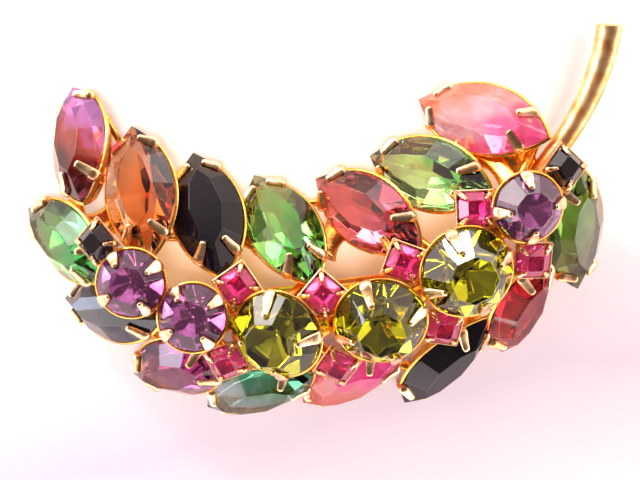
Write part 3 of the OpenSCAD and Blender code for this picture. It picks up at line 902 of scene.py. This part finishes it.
def family_materials(family):
    """The glass and the foil of a family of stones, and the darker glass of its tables, painted shade, where
    that differs.
    """
    row = FOILED[family]
    materials = [pressed_glass(family + "_glass", row.glass, clear=row.clear),
                 foil_backing(family + "_foil", row.foil)]
    if family in SHADED_SMALL_TABLES:
        materials.append(pressed_glass(
            family + "_table_glass_painted_shade", SHADED_SMALL_TABLES[family], clear=SMALL_TABLE_CLEAR))
    return materials


def dress_foiled(piece, stone, materials):
    """Foil on the pavilion, and on a small stone a glass of its own for the table."""
    for material in materials:
        piece.data.materials.append(material)
    axis = axis_of(stone)
    for face in piece.data.polygons:
        rise = face.normal.dot(axis)
        if rise < BACK_RISE:
            face.material_index = FOIL_SLOT
        elif rise > TABLE_RISE and stone.kind == "small":
            face.material_index = TABLE_SLOT
        else:
            face.material_index = GLASS_SLOT


def dress_navette(piece, stone, name):
    """One glass all over. Navettes have no foil, and light comes through their open cups."""
    clear = CLEAR.get(name, 1.0)
    piece.data.materials.append(pressed_glass(
        name + "_glass", NAVETTE_COLOURS[name], stone, clear,
        ior=GLASS_IOR if clear > DARK_CLEAR else DARK_GLASS_IOR,
        slant=-SLANT if name in SLANTED_RIGHT else SLANT))


family_glass = {family: family_materials(family) for family in FOILED}
foil_of = {name: family for family, names in FAMILY.items() for name in names}
models = {kind: cut_stone(kind) for kind in CROWN}
for name, stone in STONES.items():
    piece = copy_in_place(models[stone.kind], TO_FRAME @ turned(stone), name + "_cut")
    if name in foil_of:
        dress_foiled(piece, stone, family_glass[foil_of[name]])
    else:
        dress_navette(piece, stone, name)
    hand_over(piece, name)
for model in models.values():
    bpy.data.objects.remove(model)

# The metal in its place
cups = {"navette": navette_cup(), "large": round_cup("large"), "middle": round_cup("middle"),
        "small": small_cup()}
for cup in cups.values():
    smooth_faces(cup)
GROUPS = {"navette_cups": ("navette",), "chaton_cups": ("large", "middle"), "small_cups": ("small",)}
for name, kinds in GROUPS.items():
    copies = [copy_in_place(cups[stone.kind], TO_FRAME @ turned(stone), "cup")
              for stone in STONES.values() if stone.kind in kinds]
    piece = joined(copies)
    piece.name = piece.data.name = name
    # The lowest claws are worn flat where the brooch rests on them.
    for vertex in piece.data.vertices:
        vertex.co.z = max(vertex.co.z, 0)
    hand_over(piece, "setting_frame")
for cup in cups.values():
    bpy.data.objects.remove(cup)

wires = [wire(in_wall(*row[:4]), in_wall(*row[4:]), SIDE_WIRE_D) for row in SIDE_WIRES]
wires += [wire(in_foot(i, j), in_foot(j, i), UNDER_WIRE_D) for i, j in UNDER_WIRES]
web_middle = WEB_Z - WEB_T / 2
for i, x, side, j, far_x, width in WEBS:
    ends = in_wall(i, x, side, web_middle), in_wall(j, far_x, -side, web_middle)
    wires.append(solder(*ends, axis_of(STONES[NAMES[i]]), width))
# The cup of the last navette of the upper row is soldered to the stem and to the round cup beside it.
STEM_JOINTS = [
    # navette, x, the other end
    (6, -6, STEM[3]),
    (6, -3.5, STEM[3]),
    (6, -2, in_foot(20, 6)),
]
for i, x, end in STEM_JOINTS:
    wires.append(solder(in_wall(i, x, LEFT, web_middle), end, axis_of(STONES[NAMES[i]]), STRAP_W))
for i, j in STRAPS:
    a, up = at_wall(i, j, STRAP_Z)
    b, _ = at_wall(j, i, STRAP_Z)
    wires.append(solder(a, b, up, STRAP_W))
for name, parts, finish in (("frame_wires", wires, shaded_gold), ("stem_rod", [stem()], satin_gold)):
    piece = plated(joined(parts), finish)
    piece.data.transform(TO_FRAME)
    piece.name = piece.data.name = name
    hand_over(piece, "setting_frame")

pin = pin_clasp()
pin.data.transform(TO_FRAME)
hand_over(pin, "pin_clasp")


# Floor and light

def matt_white_paper():
    """Matt paper, white, with a faint lilac painted shade, darker than the paper, some 6 cm wide along the
    picture's lower edge.
    """
    material, tree, bsdf = new_material("matt_white_paper", {"Roughness": 0.9})
    place = add_node(tree, "ShaderNodeTexCoord").outputs["Object"]
    # It grows towards the picture's lower edge, and a little towards its right one.
    downwards = add_node(tree, "ShaderNodeVectorMath", {0: place, 1: (2, -9, 0)}, operation="DOT_PRODUCT")
    # Clouds some 25 mm across make the shade's edge uneven.
    cloud = add_node(tree, "ShaderNodeTexNoise", {"Vector": place, "Scale": 40, "Detail": 2})
    mottled = add_node(tree, "ShaderNodeMath", {
        0: cloud.outputs["Fac"], 1: 0.1, 2: downwards.outputs["Value"]}, operation="MULTIPLY_ADD")
    tone = ramp(tree, mottled.outputs[0], [
        (0.0, linear("#faf8f8")), (0.3, linear("#d0cade")), (0.6, linear("#f4f0f2"))])
    tree.links.new(tone, bsdf.inputs["Base Color"])
    return material


bpy.ops.object.select_all(action="DESELECT")
bpy.ops.mesh.primitive_plane_add(size=4, location=(0, 0, 0))
floor = bpy.context.object
floor.name = "floor"
floor.data.materials.append(matt_white_paper())


def pale_room():
    """A pale room that is darker overhead, where the camera is."""
    room = bpy.data.worlds.new("room")
    room.use_nodes = True
    tree = room.node_tree
    tree.nodes.clear()
    direction = add_node(tree, "ShaderNodeTexCoord").outputs["Generated"]
    height = add_node(tree, "ShaderNodeSeparateXYZ", {"Vector": direction}).outputs["Z"]
    tone = ramp(tree, height, [
        (0.0, linear("#fff8f8")), (0.2, linear("#fff2f3")), (0.36, linear("#c8b4b2")),
        (0.52, linear("#6e6260")), (0.75, linear("#3c3634")), (0.95, linear("#2c2624"))])
    background = add_node(tree, "ShaderNodeBackground", {"Color": tone, "Strength": 4.2})
    add_node(tree, "ShaderNodeOutputWorld", {"Surface": background.outputs[0]})
    return room


bpy.context.scene.world = pale_room()


def soft_box(name, place, size, power, colour, unseen=()):
    """An area light that faces the brooch. The kinds of ray in unseen pass it by."""
    light = bpy.data.lights.new(name, "AREA")
    light.shape = "RECTANGLE"
    light.size, light.size_y = size
    light.energy = power
    light.color = linear(colour)[:3]
    lamp = bpy.data.objects.new(name, light)
    lamp.location = place
    lamp.rotation_euler = (-Vector(place)).to_track_quat("-Z", "Y").to_euler()
    bpy.context.scene.collection.objects.link(lamp)
    for ray in unseen:
        setattr(lamp, "visible_" + ray, False)


# Places and sizes in metres, power in watts
soft_box("window", (-0.26, 0.3, 0.1), (0.2, 0.12), 0.42, "#fffaf4")
soft_box("bulb", (-0.2, 0.36, 0.16), (0.03, 0.03), 0.5, "#fffaf4")
# A small far lamp that only the upper facet of chaton_05 mirrors to the camera
soft_box("glint", (-0.144, 0.542, 0.217), (0.026, 0.026), 0.045, "#fffaf4")
soft_box("side_window", (-0.45, -0.05, 0.1), (0.16, 0.16), 0.6, "#c8dcff")
# The ceiling only lifts the shadows: it stays out of the facets, as a polarised lamp would.
soft_box("ceiling", (0, 0, 0.5), (0.15, 0.15), 2.1, "#ffead8", unseen=["glossy"])
# What the gold throws down on the paper, seen in the openings between the cups
soft_box("gold_glow", (0, 0, 0.004), (0.05, 0.02), 0.0016, "#ffb850", unseen=["camera", "glossy"])

bpy.context.scene.view_settings.view_transform = "Standard"
